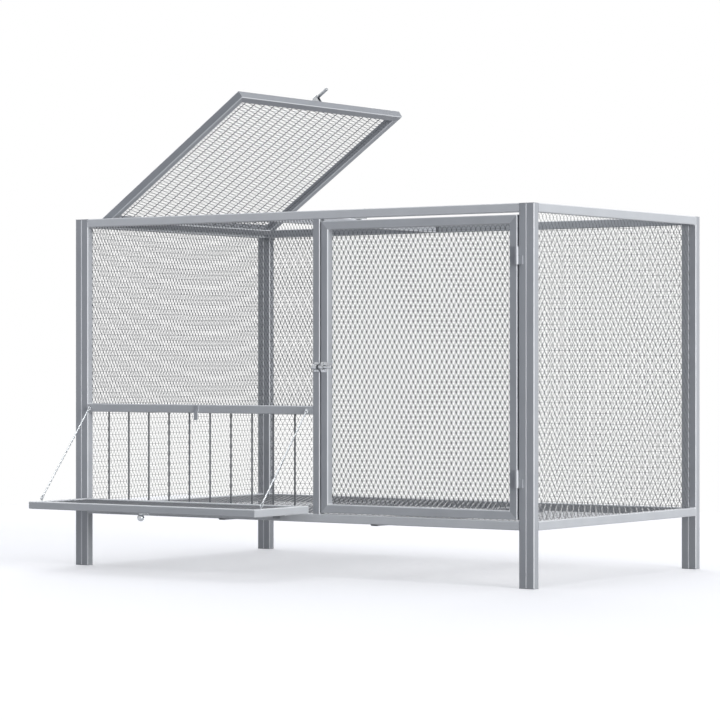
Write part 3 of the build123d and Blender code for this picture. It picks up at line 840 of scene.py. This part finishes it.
# %% Lid bolt
lid_bolt_height = lid_strap_size["axis_height"]
lid_bolt = round_bar("sliding_lid_bolt", radius=0.004, tail=-0.0245, tip=0.043, axis_height=lid_bolt_height)
hook_place = (-0.0195, 0, lid_bolt_height)
hook_neck = 0.008
hook_bend = 0.0042
hook = turned_pin([(0, 0.0020), (0.006, 0.0020), (hook_neck, 0.0018)])
bpy.ops.object.mode_set(mode="EDIT")
select_where(lambda place: place.z > hook_neck * 0.99)
bpy.ops.mesh.spin(steps=10, angle=radians(150), center=(0, hook_bend, hook_neck), axis=(1, 0, 0))
bpy.ops.mesh.select_all(action="SELECT")
bpy.ops.mesh.remove_doubles(threshold=merge_gap / 2)
bpy.ops.mesh.normals_make_consistent(inside=False)
bpy.ops.object.mode_set(mode="OBJECT")
print("hook reaches", [round(max(v.co[i] for v in hook.data.vertices), 4) for i in range(3)])
hook.data.transform(Matrix.Translation(hook_place))
join(lid_bolt, [hook])

# %% Bolts on their bodies
for bolt, node_name, axes, foot in (
    (door_bolt, "door_bolt", door_axes, door_foot),
    (lid_bolt, "lid_bolt", lid_axes, lid_foot),
):
    put(bolt, axes, foot)
    bolt.data.materials.append(chrome)
    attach(bolt, node_name)
    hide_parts(node_name)
    print(bolt.name, len(bolt.data.polygons), "faces")

# %% [markdown]
# The flap is shut with a turn knob: a ball on a neck, with a flat tongue that swings behind the keeper on
# the feed rail. The knob is turned like the lever's ball, all in one run from the head inside the tube to
# the top of the ball. The tongue is a plate with rounded ends.

# %% Flap knob
ball_middle = 0.0103
ball_radius = 0.0075
knob = turned_pin(
    [
        (-0.0025, 0.0035),
        (-0.0015, 0.0035),
        (-0.0015, 0.0020),
        (0.0004, 0.0020),
        (0.0022, 0.0034),
        (0.0030, 0.0036),
        (0.0036, 0.0034),
        *ball_steps(ball_middle, ball_radius, range(-60, 90, 10)),
    ]
)
knob.name = "turned_flap_knob"
tongue_size = (0.026, 0.008, 0.002)
join(knob, [rounded_plate((0.009, 0, 0.0014), tongue_size, corner=0.0036, segments=6)])
knob_low, knob_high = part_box("flap_knob")
knob_length = ball_middle + ball_radius
flap_face = Vector(
    (knob_low[0] + ball_radius, (knob_low[1] + knob_high[1]) / 2, knob_low[2] + knob_length)
)
put(knob, (right_way, -back_way, -up_way), flap_face)
knob.data.materials.append(chrome)
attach(knob, "flap_knob")
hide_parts("flap_knob")
print(knob.name, "hangs from", tuple(round(n, 4) for n in flap_face))

# %% [markdown]
# Two stays hold the flap level. Each is a pair of zinc-bright wires twisted together, with a loop at each
# end that links into an eye. A plain rod would be quicker, but it shows none of the small notches. Two
# straight pins are set side by side and Simple Deform twists them, Spin makes the loops, and a collar
# covers each joint.

# %% Parts of a stay
loop_radius = 0.0035
loop_wire = 0.0011
strand_radius = 0.0011
lay = 0.020
steps_per_turn = 12
upper_low, upper_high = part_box("stay_upper_eyes")
lower_low, lower_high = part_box("stay_lower_eyes")
eye_reach = (upper_high[2] - upper_low[2]) / 2
stay_top = Vector((0, upper_low[1] + eye_reach, upper_low[2] + eye_reach))
stay_foot = Vector((0, (lower_low[1] + lower_high[1]) / 2, lower_high[2] - eye_reach))
run = (stay_foot - stay_top).length
bare = run - 4 * loop_radius
steps = round(bare / lay * steps_per_turn)
wire = turned_pin([(i * bare / steps, strand_radius) for i in range(steps + 1)], sides=8)
wire_pair = copy_at(wire, (strand_radius, 0, 0))
join(wire_pair, [copy_at(wire, (-strand_radius, 0, 0))])
apply_modifier(
    wire_pair, "SIMPLE_DEFORM", deform_method="TWIST", deform_axis="Z", angle=2 * pi * bare / lay
)
collar = turned_pin([(-0.0030, 0.0016), (-0.0026, 0.0025), (0.0026, 0.0025), (0.0030, 0.0016)])
bpy.ops.object.select_all(action="DESELECT")
bpy.ops.mesh.primitive_circle_add(vertices=8, radius=loop_wire, location=(loop_radius, 0, 0))
loop = bpy.context.object
bpy.ops.object.transform_apply(location=True, rotation=True, scale=True)
bpy.ops.object.mode_set(mode="EDIT")
bpy.ops.mesh.select_all(action="SELECT")
bpy.ops.mesh.spin(steps=20, angle=2 * pi, center=(0, 0, 0), axis=(0, 1, 0))
bpy.ops.mesh.select_all(action="SELECT")
bpy.ops.mesh.remove_doubles(threshold=merge_gap)
bpy.ops.mesh.normals_make_consistent(inside=False)
bpy.ops.object.mode_set(mode="OBJECT")
bpy.ops.object.shade_smooth_by_angle(angle=radians(60))
print("stay", round(run, 4), "m long,", len(wire_pair.data.polygons), "faces of wire")

# %% [markdown]
# When the flap shuts, the lower end of a stay goes up with it, and a stay that kept straight would be left
# in the air. Here each stay is set straight from the eye on the frame to the eye on the flap, and its
# place is kept in its mesh.

# %% Flap stays
collar_place = 0.0095
down_way = (stay_foot - stay_top).normalized()
for node_name in ("left_stay", "right_stay"):
    low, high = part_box(node_name)
    top = stay_top + right_way * (low[0] + high[0]) / 2
    stay = copy_at(wire_pair, (0, 0, 2 * loop_radius))
    loops = [copy_at(loop, (0, 0, z)) for z in (loop_radius, run - loop_radius)]
    collars = [copy_at(collar, (0, 0, z)) for z in (collar_place, run - collar_place)]
    join(stay, loops + collars)
    stay.name = "twisted_" + node_name
    put(stay, (right_way, down_way.cross(right_way), down_way), top)
    stay.data.materials.append(wire_zinc)
    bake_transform(stay)
    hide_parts(node_name)
    print(stay.name, "from", tuple(round(n, 4) for n in top))
for spare in (wire, wire_pair, collar, loop):
    bpy.data.objects.remove(spare)

# %% [markdown]
# Rails meet posts in welded corners. A weld is laid down drop by drop, so it has ripples. One bead is a pin
# whose end is extruded with changing width, and copies of it lie in the inner corners of the frame and the
# door, under the same enamel. The corners that the door and the flap close against stay bare, because a
# maker grinds them flush.

# %% One weld bead
first_drop = -0.0062
drop_pitch = 0.0021
ripples = [(-0.0070, 0.0009), (-0.0064, 0.0009)]
for drop in range(6):
    start = first_drop + drop * drop_pitch
    ripples += [(start, 0.0016), (start + 0.0014, 0.0017), (start + 0.0019, 0.0013)]
ripples += [(0.0068, 0.0006)]
bead = turned_pin(ripples, sides=10)
print("bead", len(bead.data.polygons), "faces")

# %% Corners to weld
along_y = Matrix.Rotation(pi / 2, 4, "X")
along_x = Matrix.Rotation(pi / 2, 4, "Y")
left_low, left_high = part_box("front_left_stile")
post_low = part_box("door_post")[0]
feed_low, feed_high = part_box("feed_rail")
top_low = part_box("front_top_rail")[0]
back_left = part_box("back_left_stile")
back_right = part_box("back_right_stile")
base_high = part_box("back_bottom_rail")[1]
spots = []
for x in (left_high[0], post_low[0]):
    for z in (top_low[2], feed_high[2], feed_low[2]):
        spots.append(((x, (left_low[1] + left_high[1]) / 2, z), along_y))
for x in (back_left[1][0], back_right[0][0]):
    for z in (top_low[2], base_high[2]):
        spots.append(((x, (back_left[0][1] + back_left[1][1]) / 2, z), along_y))
for side in ("left", "right"):
    front_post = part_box(side + "_front_post")
    back_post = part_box(side + "_back_post")
    for y in (front_post[1][1], back_post[0][1]):
        for z in (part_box(side + "_top_rail")[0][2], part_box(side + "_bottom_rail")[1][2]):
            spots.append((((front_post[0][0] + front_post[1][0]) / 2, y, z), along_x))
door_spots = []
for x in (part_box("door_bolt_stile")[1][0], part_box("door_hinge_stile")[0][0]):
    for z in (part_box("door_top_rail")[0][2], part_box("door_bottom_rail")[1][2]):
        door_spots.append(((x, (left_low[1] + left_high[1]) / 2, z), along_y))
print("corners of the frame", len(spots), "and of the door", len(door_spots))

# %% Welds
for name, body, places in (
    ("frame_corner_welds", "frame", spots),
    ("door_corner_welds", "door", door_spots),
):
    welds = [copy_at(bead, place, turn) for place, turn in places]
    join(welds[0], welds[1:])
    welds[0].name = name
    welds[0].data.materials.append(tube_enamel)
    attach(welds[0], body)
    print(name, len(places), "beads", len(welds[0].data.polygons), "faces")
bpy.data.objects.remove(bead)
